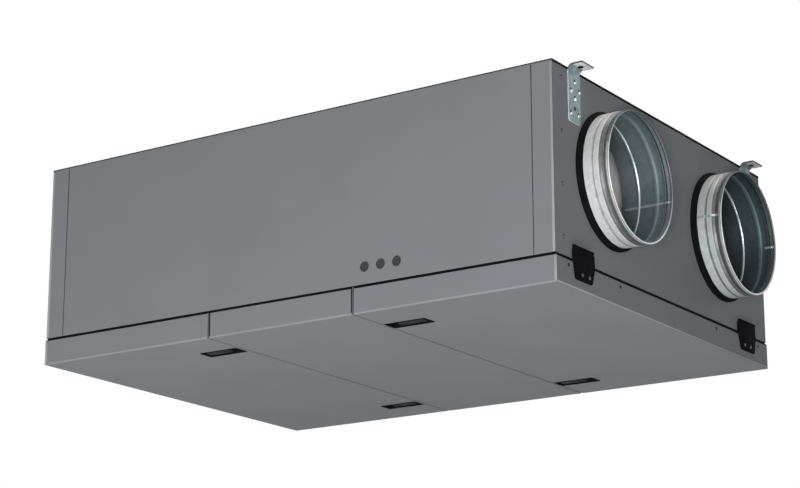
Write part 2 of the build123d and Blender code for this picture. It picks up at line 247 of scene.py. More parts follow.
def filter_cloth(name, colour):
    """White filter medium: matted fibres with a little dust."""
    material, tree, shader, where = new_material(name, colour, 0.95)
    fibres = noise(tree, where, 700.0, 5.0)
    dust = noise(tree, where, 12.0, 3.0)
    tree.links.new(blend_colours(tree, dust, tint(colour, 0.86), colour), shader.inputs["Base Color"])
    shader.inputs["Sheen Weight"].default_value = 0.2
    add_bump(tree, shader, [(fibres, 0.0006)])
    return material


def thin_plates(name, colour, pitch):
    """Aluminium with the fine parallel lines of stacked plates, pitch metres apart."""
    material, tree, shader, where = new_material(name, colour, 0.35, 1.0)
    lines = tree.nodes.new("ShaderNodeTexWave")
    lines.bands_direction = "Z"
    lines.inputs["Scale"].default_value = tau / pitch / 20
    lines.inputs["Distortion"].default_value = 0.0
    tree.links.new(where, lines.inputs["Vector"])
    stripes = lines.outputs["Fac"]
    tree.links.new(blend_colours(tree, stripes, tint(colour, 0.45), colour), shader.inputs["Base Color"])
    add_bump(tree, shader, [(stripes, 0.0008), (noise(tree, where, 60.0), 0.0003)], 0.0008)
    return material


# Paler copies of the casing paint as painted highlights along edges, on strips too thin for rounded edges
CASING = coated_steel("coated_steel", (0.208, 0.215, 0.231))
EDGE_HIGHLIGHT = coated_steel("edge_highlight_paint", (0.33, 0.34, 0.36), round_edges=0.0)
LOW_EDGE_HIGHLIGHT = coated_steel("low_edge_highlight_paint", (0.28, 0.288, 0.305), round_edges=0.0)
END_EDGE_HIGHLIGHT = coated_steel("end_edge_highlight_paint", (0.44, 0.45, 0.475), round_edges=0.0)
BRACKET_ZINC = zinc("galvanised_bracket", (0.36, 0.46, 0.49), (0.45, 0.6), 0.0004, metallic=0.4, contrast=0.3)
# A pale copy of the bracket zinc, painted highlights on the flange and the leg's edges
HIGHLIGHT_ZINC = zinc("bracket_highlight", (0.95, 0.97, 0.97), (0.4, 0.5), 0.0002, metallic=0.1, contrast=0.15)
SCREW_ZINC = zinc("zinc_plated_screw", (0.86, 0.9, 0.9), (0.2, 0.3), 0.0)
# A paler zinc for the tubes' inner ridge and lock seams, a painted highlight against the darker lining
RIDGE_HIGHLIGHT_ZINC = zinc("ridge_highlight_zinc", (0.66, 0.74, 0.76), (0.35, 0.45), 0.0004, metallic=0.7, contrast=0.1)
INNER_SHEET = zinc("inner_sheet", (0.98, 0.98, 0.98), (0.5, 0.65), 0.0008, metallic=0.0, contrast=0.03)
FAN_METAL = zinc("fan_sheet", (0.6, 0.62, 0.64), (0.3, 0.45), 0.0002)
RUBBER = dull_black("rubber", (0.005, 0.006, 0.007), 0.8, 600.0, 0.00015, gloss=0.04)
GROMMET_RUBBER = dull_black("grommet_rubber", (0.03, 0.031, 0.034), 0.65, 600.0, 0.00012, gloss=0.3)
BLACK_PLASTIC = dull_black("black_plastic", (0.005, 0.005, 0.007), 0.75, 900.0, 0.00012, gloss=0.03)
LEVER_PLASTIC = dull_black("lever_plastic", (0.022, 0.022, 0.024), 0.5, 900.0, 0.0001, gloss=0.15)
HINGE_SCREW = dull_black("greyed_screw", (0.08, 0.08, 0.085), 0.4)
DARK_SCREW = dull_black("blackened_screw", (0.014, 0.014, 0.015), 0.5, gloss=0.3)
# Near black discs, painted shade above the bracket screws and in their empty hole
BRACKET_SHADE_DARK = dull_black("bracket_mark_shade", (0.025, 0.04, 0.038), 0.6, gloss=0.3)
# Dark grey for the painted shade in the walls' upright joints
JOINT_GREY = dull_black("joint_grey", (0.045, 0.046, 0.05), 0.6, gloss=0.2)
# Near black for cut steel edges, partly the bare steel and partly painted shade
SHADED_CUT_EDGE = dull_black("shaded_cut_edge", (0.02, 0.018, 0.018), 0.5, gloss=0.3)
FILTER_CLOTH = filter_cloth("filter_cloth", (0.78, 0.8, 0.8))
EXCHANGER = thin_plates("exchanger_plates", (0.72, 0.74, 0.76), 0.0045)
SLOT_MATERIALS = {
    "casing": CASING,
    "galvanised": INNER_SHEET,
    "rubber": RUBBER,
    "black_plastic": BLACK_PLASTIC,
    "lever_plastic": LEVER_PLASTIC,
    "filter_media": FILTER_CLOTH,
    "aluminium": EXCHANGER,
}
for subpart in frame["record"]["subparts"]:
    surface = nodes[subpart["node"]].data
    surface.materials.clear()
    surface.materials.append(SLOT_MATERIALS[subpart["material_slot"]])
nodes["fans"].data.materials[0] = FAN_METAL


# Mesh helpers. All sizes are in millimetres.

MERGE_DISTANCE = 0.001
SHARP_ANGLE = 38
SCREW_SEGMENTS = 24
HINGE_SEGMENTS = 40


def finish_piece(name, bm, materials, body, replaced=()):
    """A new piece from a bmesh in millimetres: cleaned, placed, shaded and set to ride on its body."""
    bmesh.ops.remove_doubles(bm, verts=bm.verts, dist=MERGE_DISTANCE)
    bmesh.ops.recalc_face_normals(bm, faces=bm.faces)
    bmesh.ops.transform(bm, matrix=Matrix.Translation(PLAN_CENTRE) @ Matrix.Scale(MM, 4), verts=bm.verts)
    mesh = bpy.data.meshes.new(name)
    bm.to_mesh(mesh)
    bm.free()
    for polygon in mesh.polygons:
        polygon.use_smooth = True
    mesh.set_sharp_from_angle(angle=radians(SHARP_ANGLE))
    for material in materials:
        mesh.materials.append(material)
    piece = bpy.data.objects.new(name, mesh)
    bpy.context.scene.collection.objects.link(piece)
    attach(piece, body)
    if replaced:
        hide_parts(*replaced)
    return piece


def facing(normal, up=(0, 0, 1)):
    """The turn that brings +Z to normal, with +Y as near to up as it goes."""
    z = Vector(normal).normalized()
    x = Vector(up).cross(z)
    x = x.normalized() if x.length > 1e-6 else Vector((1, 0, 0))
    return Matrix((x, z.cross(x), z)).transposed()


def revolve(bm, profile, centre, normal, segments, closed=False):
    """Turns a profile of (height, radius) pairs round the normal at centre."""
    turn = facing(normal)
    rings = []
    for height, radius in profile:
        if radius < 1e-4:
            rings.append([bm.verts.new(centre + turn @ Vector((0, 0, height)))])
            continue
        ring = []
        for step in range(segments):
            angle = tau * step / segments
            local = Vector((radius * cos(angle), radius * sin(angle), height))
            ring.append(bm.verts.new(centre + turn @ local))
        rings.append(ring)
    pairs = list(zip(rings, rings[1:]))
    if closed:
        pairs.append((rings[-1], rings[0]))
    for first, second in pairs:
        for step in range(segments):
            after = (step + 1) % segments
            if len(first) == 1:
                bm.faces.new((first[0], second[step], second[after]))
            elif len(second) == 1:
                bm.faces.new((first[step], second[0], first[after]))
            else:
                bm.faces.new((first[step], second[step], second[after], first[after]))


def add_box(bm, corner, opposite, bevel):
    """A box with rounded edges between two opposite corners, along the frame's axes."""
    corner = Vector(corner)
    opposite = Vector(opposite)
    size = Vector([abs(second - first) for first, second in zip(corner, opposite)])
    made = bmesh.ops.create_cube(bm, size=1.0)["verts"]
    bmesh.ops.scale(bm, verts=made, vec=size)
    bmesh.ops.translate(bm, verts=made, vec=(corner + opposite) / 2)
    edges = list({edge for vert in made for edge in vert.link_edges})
    bmesh.ops.bevel(
        bm, geom=edges, offset=bevel, segments=2, profile=0.5, affect="EDGES", clamp_overlap=True
    )


def arc(centre, radius, start, stop, steps):
    """Points on an arc, in degrees, as pairs."""
    angles = [radians(angle) for angle in evenly(start, stop, steps + 1)]
    return [(centre[0] + radius * cos(a), centre[1] + radius * sin(a)) for a in angles]


def rounded_outline(points, radii, steps=6):
    """A closed outline with each corner rounded by its own radius."""
    outline = []
    count = len(points)
    for i, corner in enumerate(points):
        here = Vector(corner)
        before = (Vector(points[i - 1]) - here).normalized()
        after = (Vector(points[(i + 1) % count]) - here).normalized()
        half = before.angle(after) / 2
        reach = radii[i] * cos(half) / sin(half)
        middle = here + (before + after).normalized() * (radii[i] / sin(half))
        first = here + before * reach - middle
        last = here + after * reach - middle
        swing = first.angle_signed(last)
        for step in range(steps + 1):
            turned = first.copy()
            turned.rotate(Matrix.Rotation(-swing * step / steps, 2))
            outline.append(tuple(middle + turned))
    return outline


def rounded_rectangle(x, y, length, width, radius):
    """A rounded rectangle about a middle."""
    corners = [(x - length / 2, y - width / 2), (x + length / 2, y - width / 2)]
    corners += [(x + length / 2, y + width / 2), (x - length / 2, y + width / 2)]
    return rounded_outline(corners, [radius] * 4)


def circle_outline(x, y, radius, steps=32):
    return [(x + radius * cos(tau * i / steps), y + radius * sin(tau * i / steps)) for i in range(steps)]


def add_plate(bm, outlines, thickness, edge, place, turn):
    """A plate cut from outlines, the first one its rim and the rest its holes, with softened edges."""
    curve = bpy.data.curves.new("plate", "CURVE")
    curve.dimensions = "2D"
    curve.fill_mode = "BOTH"
    curve.extrude = thickness / 2 - edge
    curve.bevel_depth = edge
    curve.bevel_resolution = 2
    curve.offset = -edge
    for outline in outlines:
        spline = curve.splines.new("POLY")
        spline.points.add(len(outline) - 1)
        for point, (x, y) in zip(spline.points, outline):
            point.co = (x, y, 0, 1)
        spline.use_cyclic_u = True
    holder = bpy.data.objects.new("plate", curve)
    mesh = bpy.data.meshes.new_from_object(holder)
    mesh.transform(Matrix.Translation(place) @ turn.to_4x4())
    bm.from_mesh(mesh)
    bpy.data.objects.remove(holder)
    bpy.data.curves.remove(curve)
    bpy.data.meshes.remove(mesh)


def add_screw(bm, place, normal, radius, height):
    """A domed screw head with a socket."""
    socket = radius * 0.4
    side = height * 0.3
    dome = [(-0.3, radius * 0.97), (side, radius)]
    dome += [(side + (height - side) * sin(a), radius - (radius - socket) * (1 - cos(a)))
             for a in (0.35, 0.7, 1.05, 1.4, pi / 2)]
    dome += [(height * 0.35, socket * 0.9), (side, 0.0)]
    revolve(bm, dome, place, normal, SCREW_SEGMENTS)


# Duct spigots: x runs out along each tube from the wall

SPIGOT_SEGMENTS = 176
SPIGOT_RADIUS = 157.0
RIM = 157.5
SPIGOT_REACH = 80.0
WALL_DEPTH = 55.0
SHEET = 1.5
CURL_RADIUS = 2.2
CURL_START = 74.0
CREASE_X = 37.5
SHOULDER_X = 51.0
GROOVE_X = 64.0
RIDGE_X = -10.0

# Rounded dips in the sheet: middle, half width and depth, with a minus where it swells
SKIN_DIPS = ((CREASE_X, 3.5, 0.8), (SHOULDER_X, 3.5, -0.4), (GROOVE_X, 9.5, 2.5))
LINING_DIPS = ((GROOVE_X, 11.0, 0.9), (CREASE_X, 9.0, 1.0), (RIDGE_X, 4.0, 1.6))

# The stretches that have a finish of their own
FOLD = (34.5, 40.5)
GROOVE = (54.5, 71.5)
SWELL = (32.0, 43.0)
RIDGE = (-13.0, -7.0)
LIP_START = SPIGOT_REACH - 5.0
LIP_RADIUS = 155.0
LIP_SWELL = 2.2

# The lock seam and its solder
SEAM_ANGLES = {-1: (-8,), 1: (176, 0)}
SEAM_START = 16
INNER_SEAM_START = {-1: -48, 1: 50}
SEAM_STOP = 73
SEAM_STEP = 1.5
SEAM_FOOT = 3.2
SEAM_CREST = 2.4
SEAM_SUNK = 0.2
SOLDER_DOT = [(0, 3.2), (0.6, 2.8), (1.1, 1.8), (1.3, 0.0)]

spigot_low, spigot_high = node_box("duct_spigots")
SPIGOT_Z = (spigot_low.z + spigot_high.z) / 2
SPIGOT_Y = {-1: spigot_low.y + RIM, 1: spigot_high.y - RIM}

# The tones in which the two sides' tubes differ, the back ones darker as painted shade, the tone their skin
# fades to at the upper back as painted shade, and how much darker their folds are as painted shade in the
# crease and how much paler their swells are as a painted highlight
SKIN_TONE = {-1: (0.86, 0.88, 0.9), 1: (0.68, 0.73, 0.75)}
SKIN_SHADE_TONE = {-1: (0.82, 0.8, 0.72), 1: (0.5, 0.5, 0.46)}
INSIDE_TONE = {-1: (0.31, 0.375, 0.4), 1: (0.12, 0.16, 0.175)}
FOLD_SHADE_SHARE = {-1: 0.74, 1: 0.42}
SWELL_HIGHLIGHT_SHARE = {-1: 1.5, 1: 2.2}


def spigot_finishes(name, side):
    """The finishes of one side's tubes, the outer ones darker towards the tubes' upper back as painted shade,
    the lip, swell and ridge paler as painted highlights.
    """
    axis = (PLAN_CENTRE.y + SPIGOT_Y[side] * MM, PLAN_CENTRE.z + SPIGOT_Z * MM, SPIGOT_RADIUS * MM)
    skin = SKIN_TONE[side]
    top = SKIN_SHADE_TONE[side]
    fold = tint(skin, FOLD_SHADE_SHARE[side])
    inside = INSIDE_TONE[side]
    swell = tint(inside, SWELL_HIGHLIGHT_SHARE[side])
    return {
        # Skin and lining: the back side's are darker copies of the front side's, as painted shade
        "skin": zinc(f"galvanised_sheet_{name}", skin, (0.34, 0.5), 0.0014, 0.15, 0.14, (top, axis)),
        "lining": zinc(f"spigot_inside_{name}", inside, (0.4, 0.55), 0.001, 0.8, 0.15),
        # The groove is darker for the rubber seal in it and as painted shade, and near black at its upper
        # back as painted shade
        "groove": zinc(
            f"groove_{name}", (0.24, 0.245, 0.24), (0.4, 0.5), 0.0006, 0.5, 0.25, ((0.02, 0.02, 0.018), axis)
        ),
        # The rim is near black at its upper back, as painted shade
        "rim": zinc(
            f"rim_{name}", (0.42, 0.42, 0.4), (0.4, 0.5), 0.0004, 0.3, 0.2, ((0.006, 0.006, 0.006), axis), 0.1
        ),
        # The ridge and the lip are paler than the sheet round them, as painted highlights; the lip is darker
        # at its upper back, as painted shade
        "ridge": RIDGE_HIGHLIGHT_ZINC,
        "lip": zinc(
            f"lip_{name}", (0.95, 0.96, 0.96), (0.35, 0.45), 0.0004, 0.5, 0.1, ((0.2, 0.22, 0.22), axis)
        ),
        # The fold is darker, as painted shade in the crease; the swell is paler, as a painted highlight
        "fold": zinc(f"fold_{name}", fold, (0.4, 0.5), 0.001, 0.3, 0.35, (tint(top, 0.5), axis)),
        "swell": zinc(f"swell_{name}", swell, (0.4, 0.5), 0.001, 0.8, 0.15),
    }


def spigot_centre(end, side):
    return Vector((end * HALF_LENGTH, SPIGOT_Y[side], SPIGOT_Z))


def dip(x, middle, half_width, depth):
    """How far a rounded dip about a middle draws the sheet in at x."""
    away = min(abs(x - middle) / half_width, 1.0)
    return depth * (1 - away * away * (3 - 2 * away))


def spigot_skin(x):
    """The sheet's outer radius at x: a crease, a shoulder and the seal groove."""
    return SPIGOT_RADIUS - sum(dip(x, *one) for one in SKIN_DIPS)


def spigot_lining(x):
    """The sheet's inner radius at x, with a swell behind the groove and a stiffening ridge deep inside."""
    return SPIGOT_RADIUS - SHEET - sum(dip(x, *one) for one in LINING_DIPS)


def spigot_profile():
    """The closed section of the sheet: out along the skin, round the curled rim and back inside."""
    outer = [-WALL_DEPTH, -30, -14, 0, 8, 16, 25, 32, *evenly(*FOLD, 7), 43, 47.2, 49.2, SHOULDER_X, 52.8]
    outer += evenly(GROOVE[0], CURL_START, 16)
    curl = arc((SPIGOT_REACH - CURL_RADIUS, RIM - CURL_RADIUS), CURL_RADIUS, 118, -90, 16)
    inner = evenly(CURL_START, 24.5, 34) + [20, 8, -4] + evenly(-6, -14, 9) + [-20, -35, -WALL_DEPTH]
    return [(x, spigot_skin(x)) for x in outer] + curl + [(x, spigot_lining(x)) for x in inner]


def spigot_finish(x, across, inside):
    """The finish of a face at x, across from the axis, on the lining or on the skin."""
    # The lip's pale band reaches further out on the tube's lower front, a painted highlight
    lit = min(max(LIT_SIDE.dot(across.normalized()) - FADE_START, 0.0), 1.0)
    if x > LIP_START and across.length < LIP_RADIUS + LIP_SWELL * lit:
        return "lip"
    if inside and x < LIP_START:
        if RIDGE[0] < x < RIDGE[1]:
            return "ridge"
        return "swell" if SWELL[0] < x < SWELL[1] else "lining"
    if x > GROOVE[1]:
        return "rim"
    if x > GROOVE[0]:
        return "groove"
    return "fold" if FOLD[0] < x < FOLD[1] else "skin"


def paint_spigot(spigot, end, centre, names):
    """Gives each face of the tube its finish, by its place."""
    for polygon in spigot.data.polygons:
        away = from_plan(polygon.center) - centre
        across = Vector((0, away.y, away.z))
        name = spigot_finish(end * away.x, across, polygon.normal.dot(across) < 0)
        polygon.material_index = names.index(name)


def add_seam(bm, centre, end, degrees_up, inner_start):
    """The lock seam: a folded strip along the tube, inside and out, with spots of solder."""
    angle = radians(degrees_up)
    out = Vector((0, cos(angle), sin(angle)))
    across = Vector((0, -sin(angle), cos(angle)))
    along = Vector((end, 0, 0))
    foot = across * SEAM_FOOT
    crest = across * SEAM_CREST
    strips = ((spigot_skin, 1, 0.5, SEAM_START), (spigot_lining, -1, 0.6, inner_start))
    dots = ((spigot_skin, 1, SHOULDER_X), (spigot_lining, -1, 68.0), (spigot_lining, -1, 74.0))
    for radius_at, sign, lift, start in strips:
        rows = []
        for i in range(int((SEAM_STOP - start) / SEAM_STEP)):
            x = start + SEAM_STEP * i
            base = centre + along * x
            low = out * (radius_at(x) - SEAM_SUNK * sign)
            high = out * (radius_at(x) + lift * sign)
            section = (low - foot, high - crest, high + crest, low + foot)
            rows.append([bm.verts.new(base + point) for point in section])
        for first, second in zip(rows, rows[1:]):
            for i in range(3):
                bm.faces.new((first[i], second[i], second[i + 1], first[i + 1]))
    for radius_at, sign, x in dots:
        place = centre + along * x + out * (radius_at(x) - SEAM_SUNK * sign)
        revolve(bm, SOLDER_DOT, place, out * sign, 12)


FINISHES = {side: spigot_finishes(name, side) for name, side in SIDES}
seams = bmesh.new()
for name, end, side in CORNERS:
    bm = bmesh.new()
    centre = spigot_centre(end, side)
    revolve(bm, spigot_profile(), centre, (end, 0, 0), SPIGOT_SEGMENTS, closed=True)
    looks = list(FINISHES[side].values())
    spigot = finish_piece(f"spigot_{name}", bm, looks, "case", ("duct_spigots",))
    paint_spigot(spigot, end, centre, list(FINISHES[side]))
    for degrees_up in SEAM_ANGLES[side]:
        add_seam(seams, centre, end, degrees_up, INNER_SEAM_START[side])
finish_piece("spigot_seams", seams, [RIDGE_HIGHLIGHT_ZINC], "case")

# Rubber collars, wide at the wall and drawn in over the base of each tube

COLLAR_RADIUS = 164.5
COLLAR_BORE = 157.2
COLLAR_FLAT = 3.0
COLLAR_ROUND = 2.0
COLLAR_SECTION = [(0.0, COLLAR_RADIUS), (COLLAR_FLAT, COLLAR_RADIUS)]
COLLAR_SECTION += arc((COLLAR_FLAT, COLLAR_RADIUS - COLLAR_ROUND), COLLAR_ROUND, 90, 30, 4)[1:]
COLLAR_SECTION += [(8.0, 161.4), (12.0, 159.8), (14.6, 158.7), (15.2, 158.2), (15.0, COLLAR_BORE)]
COLLAR_SECTION += [(0.0, COLLAR_BORE)]
bm = bmesh.new()
for name, end, side in CORNERS:
    revolve(bm, COLLAR_SECTION, spigot_centre(end, side), (end, 0, 0), SPIGOT_SEGMENTS, closed=True)
finish_piece("spigot_collars", bm, [RUBBER], "case", ("spigot_rings",))

# Hanging brackets

BRACKET_STEEL = 2.5
FLANGE_STEEL = 4.0
BRACKET_HALF = 27.0
BRACKET_BEND = 14.0
BRACKET_CORNER = 8.0
LEG_EDGE = 0.7
HOLE_RADIUS = 5.5
DIMPLE_DEPTH = 3.5
DIMPLE_RISE = 4.0
DIMPLE_WIDTH = 4.5
DIMPLE_HEIGHT = 6.0
BRACKET_SCREWS = ((32, 1), (55.5, -16.5), (50.5, 21.0), (71, 1), (110.5, -18.5), (108, 16.5))
SPARE_HOLE_DROP = 93.0
HANGER = from_plan((0, 0, 0))
bracket_low, bracket_high = node_box("hanging_brackets")
BRACKET_Y = {-1: bracket_low.y + BRACKET_HALF, 1: bracket_high.y - BRACKET_HALF}
BEND_X = HALF_LENGTH + BRACKET_BEND
BEND_Z = bracket_high.z - BRACKET_BEND


def bracket_rows():
    """Pairs of points up the leg and round the bend, on the visible side and on the wall side."""
    corner_z = bracket_low.z + BRACKET_CORNER
    leg = [corner_z - BRACKET_CORNER * cos(radians(a)) for a in (0, 22, 45, 68, 90)]
    leg += evenly(corner_z, BEND_Z, 13)[1:]
    rows = [((HALF_LENGTH + BRACKET_STEEL, z), (HALF_LENGTH, z)) for z in leg]
    inner = arc((BEND_X, BEND_Z), BRACKET_BEND - BRACKET_STEEL, 180, 90, 10)
    outer = arc((BEND_X, BEND_Z), BRACKET_BEND, 180, 90, 10)
    return rows + list(zip(inner, outer))[1:]


def add_leg(bm, end, y):
    """The leg and the bend as one strip, with rounded lower corners and a dimple pressed into the bend."""
    across = evenly(-1, 1, 37)
    loops = []
    for (near_x, near_z), (far_x, far_z) in bracket_rows():
        rise = near_z - bracket_low.z
        half = BRACKET_HALF
        if rise < BRACKET_CORNER:
            half -= BRACKET_CORNER - sqrt(max(BRACKET_CORNER**2 - (BRACKET_CORNER - rise) ** 2, 0.0))
        loop = []
        for share in across:
            away_y = share * half / DIMPLE_WIDTH
            away_z = (near_z - BEND_Z - DIMPLE_RISE) / DIMPLE_HEIGHT
            dent = DIMPLE_DEPTH * exp(-away_y * away_y - away_z * away_z)
            edge = LEG_EDGE if share in (-1, 1) else 0.0
            loop.append(bm.verts.new((end * (near_x + dent - edge), y + share * half, near_z - dent * 0.7)))
        for share in reversed(across):
            loop.append(bm.verts.new((end * far_x, y + share * half, far_z)))
        loops.append(loop)
    count = len(loops[0])
    for first, second in zip(loops, loops[1:]):
        for i in range(count):
            after = (i + 1) % count
            bm.faces.new((first[i], first[after], second[after], second[i]))
    bm.faces.new(loops[0])
    bm.faces.new(loops[-1])


def paint_bracket(bracket):
    """Cut edges on the flange and bend near black, partly as painted shade; pale ones on the leg and a pale
    flange as painted highlights.
    """
    sheet, dark, pale = range(3)
    for polygon in bracket.data.polygons:
        place = from_plan(polygon.center)
        if abs(place.x) > BEND_X + 1.0:
            polygon.material_index = dark if abs(polygon.normal.z) < 0.6 else pale
        elif abs(polygon.normal.y) > 0.7:
            polygon.material_index = dark if place.z > BEND_Z else pale
        elif polygon.normal.z < -0.7 and place.z < BEND_Z:
            polygon.material_index = pale
        else:
            polygon.material_index = sheet


for name, end, side in CORNERS:
    y = BRACKET_Y[side]
    bm = bmesh.new()
    add_leg(bm, end, y)
    flange = [(end * BEND_X, y - BRACKET_HALF), (end * bracket_high.x, y - BRACKET_HALF)]
    flange += [(end * bracket_high.x, y + BRACKET_HALF), (end * BEND_X, y + BRACKET_HALF)]
    hole = circle_outline(end * HANGER.x, y, HOLE_RADIUS)
    add_plate(bm, [flange, hole], FLANGE_STEEL, 0.2, Vector((0, 0, bracket_high.z - FLANGE_STEEL / 2)), FLAT)
    # The bracket's zinc, its near-black cut edges, partly painted shade, and its painted highlights
    finishes = [BRACKET_ZINC, SHADED_CUT_EDGE, HIGHLIGHT_ZINC]
    bracket = finish_piece(f"bracket_{name}", bm, finishes, "case", ("hanging_brackets",))
    paint_bracket(bracket)

# A thin black ring lines each hanging hole and rims it underneath, as painted shade round the hole
HOLE_SHADE_RING = [(0.0, 5.0), (0.0, HOLE_RADIUS + 0.1), (-FLANGE_STEEL, HOLE_RADIUS + 0.1), (-FLANGE_STEEL, 6.9)]
HOLE_SHADE_RING += [(-FLANGE_STEEL - 1.1, 6.5), (-FLANGE_STEEL - 1.3, 5.2)]
bm = bmesh.new()
for name, end, side in CORNERS:
    top = Vector((end * HANGER.x, BRACKET_Y[side], bracket_high.z - 0.05))
    revolve(bm, HOLE_SHADE_RING, top, (0, 0, 1), 36, closed=True)
finish_piece("hole_shade_rings", bm, [RUBBER], "case")

# The brackets' screws, each with a dark disc above it as painted shade, and a dark disc as painted shade in
# one hole without a screw
SCREW_RADIUS = 4.4
SCREW_SHADE_MARK = [(-0.2, 4.6), (0.12, 4.6), (0.15, 4.2), (0.15, 0.0)]
HOLE_MARK = [(-0.2, 5.2), (0.12, 5.2), (0.15, 4.9), (0.1, 4.0), (0.1, 0.0)]
SCREW_SHADE_RISE = Vector((0, 0, 4.6))
screws = bmesh.new()
marks = bmesh.new()
for name, end, side in CORNERS:
    face_x = end * (HALF_LENGTH + BRACKET_STEEL)
    for drop, shift in BRACKET_SCREWS:
        place = Vector((face_x, BRACKET_Y[side] + shift, CASE_HEIGHT - drop))
        add_screw(screws, place, (end, 0, 0), SCREW_RADIUS, 3.0)
        revolve(marks, SCREW_SHADE_MARK, place + SCREW_SHADE_RISE, (end, 0, 0), SCREW_SEGMENTS)
    spare = Vector((face_x, BRACKET_Y[side], CASE_HEIGHT - SPARE_HOLE_DROP))
    revolve(marks, HOLE_MARK, spare, (end, 0, 0), 28)
finish_piece("bracket_screws", screws, [SCREW_ZINC], "case")
finish_piece("bracket_shade_marks", marks, [BRACKET_SHADE_DARK], "case")

# Hinge covers: a moulded shield with a pad for two screws, rolled round its pin at the top

HINGE_HALF_TOP = 47.0
HINGE_HALF_SEAM = 49.5
HINGE_HALF_FOOT = 36.5
HINGE_SEAM_Z = 63.0
HINGE_FRONT = 5.5
HINGE_BEVEL = 2.2
HINGE_SHIFT = 2.5
FOOT_SHIFT = 4.0
KNUCKLE_END = 45.5
INNER_KNUCKLE_END = 42.0
BARREL_RADIUS = 3.6
BARREL_HALF = 36.0
BARREL_EDGE = 0.5
HINGE_PIN_RADIUS = 1.8
PIN_PAST_BARREL = 2.0
LUG_GAP = 1.0
PAD_HALF = 26.0
PAD_SHIFT = 3.0
PAD_BOTTOM = 27.0
PAD_TOP = 66.0
PAD_RISE = 1.0
SKIRT_Z = 73.0
COVER_SCREW_Z = 36.5
COVER_SCREW_SPREAD = 16.0
plates_low, plates_high = node_box("hinge_plates_right")
HINGE_Y = plates_high.y - HINGE_HALF_SEAM + HINGE_SHIFT
PIVOT = PIVOTS["door_right_hinge"]
COVER_TOP = PIVOT.z - BARREL_RADIUS - LUG_GAP


def add_knuckles(bm, end, side):
    """The two round lugs on the end panel that hold a hinge's pin, the one nearer the middle shorter."""
    for edge in (-1, 1):
        start = side * HINGE_Y + edge * (BARREL_HALF + LUG_GAP)
        stop = side * HINGE_Y + edge * (KNUCKLE_END if edge == side else INNER_KNUCKLE_END)
        low, high = sorted((start, stop))
        half = (high - low) / 2
        knuckle = [(-half, 0.0), (-half, BARREL_RADIUS - BARREL_EDGE), (BARREL_EDGE - half, BARREL_RADIUS)]
        knuckle += [(-along, radius) for along, radius in reversed(knuckle)]
        revolve(bm, knuckle, Vector((end * PIVOT.x, (low + high) / 2, PIVOT.z)), (0, 1, 0), HINGE_SEGMENTS)
        add_box(
            bm,
            (end * (HALF_LENGTH + 0.02), low + 0.6, PIVOT.z - BARREL_RADIUS + 0.3),
            (end * PIVOT.x, high - 0.6, PIVOT.z + BARREL_RADIUS - 0.3),
            0.2,
        )
    half = BARREL_HALF + PIN_PAST_BARREL
    pin = [(-half, 0.0), (-half, HINGE_PIN_RADIUS), (half, HINGE_PIN_RADIUS), (half, 0.0)]
    revolve(bm, pin, Vector((end * PIVOT.x, side * HINGE_Y, PIVOT.z)), (0, 1, 0), 32)


def add_cover(bm, end, side):
    """The shield on the door, its skirt back to the panels, its screw pad and its barrel."""
    y = side * HINGE_Y
    outward = facing((end, 0, 0))
    front = end * (HALF_LENGTH + HINGE_FRONT)
    back = end * (DOOR_END + 0.1)

    # The shield's outline, with the foot's outer corner further out. Its first axis turns with the end.
    corners = [(-HINGE_HALF_TOP, COVER_TOP), (-HINGE_HALF_SEAM, HINGE_SEAM_Z)]
    corners += [(-HINGE_HALF_FOOT, plates_low.z)]
    corners += [(-across, z) for across, z in reversed(corners)]
    outer = 2 if end * side < 0 else 3
    corners[outer] = (corners[outer][0] + end * side * FOOT_SHIFT, corners[outer][1])
    outline = rounded_outline(corners, [1.5, 5, 8, 8, 5, 1.5])
    add_plate(bm, [outline], 2 * HINGE_BEVEL, HINGE_BEVEL, Vector((front - end * HINGE_BEVEL, y, 0)), outward)
    skirt = abs(front - back) - HINGE_BEVEL
    add_plate(bm, [outline], skirt, 0.3, Vector((back + end * skirt / 2, y, 0)), outward)

    # Above the joint between door and panel the skirt is shallower
    share = (COVER_TOP - SKIRT_Z) / (COVER_TOP - HINGE_SEAM_Z)
    half = HINGE_HALF_TOP + (HINGE_HALF_SEAM - HINGE_HALF_TOP) * share
    corners = [(-HINGE_HALF_TOP, COVER_TOP), (-half, SKIRT_Z), (half, SKIRT_Z), (HINGE_HALF_TOP, COVER_TOP)]
    upper = rounded_outline(corners, [1.5, 0.5, 0.5, 1.5])
    skirt = HINGE_FRONT - 1.0
    add_plate(bm, [upper], skirt, 0.3, Vector((end * (HALF_LENGTH + 0.4 + skirt / 2), y, 0)), outward)

    middle = y - side * PAD_SHIFT
    pad_low = (front - end * 1.0, middle - PAD_HALF, PAD_BOTTOM)
    pad_high = (front + end * PAD_RISE, middle + PAD_HALF, PAD_TOP)
    add_box(bm, pad_low, pad_high, 0.7)

    neck = BARREL_HALF - 0.5
    neck_back = end * (HALF_LENGTH + 3.0)
    add_box(bm, (neck_back, y - neck, COVER_TOP - 2), (front, y + neck, PIVOT.z), 0.5)
    roll = [(-BARREL_HALF, HINGE_PIN_RADIUS + 0.1), (-BARREL_HALF, BARREL_RADIUS - BARREL_EDGE)]
    roll += [(BARREL_EDGE - BARREL_HALF, BARREL_RADIUS)]
    roll += [(-along, radius) for along, radius in reversed(roll)]
    revolve(bm, roll, Vector((end * PIVOT.x, y, PIVOT.z)), (0, 1, 0), HINGE_SEGMENTS, closed=True)


bm = bmesh.new()
for name, end, side in CORNERS:
    add_knuckles(bm, end, side)
finish_piece("hinge_knuckles", bm, [BLACK_PLASTIC], "case", ("hinge_pins",))

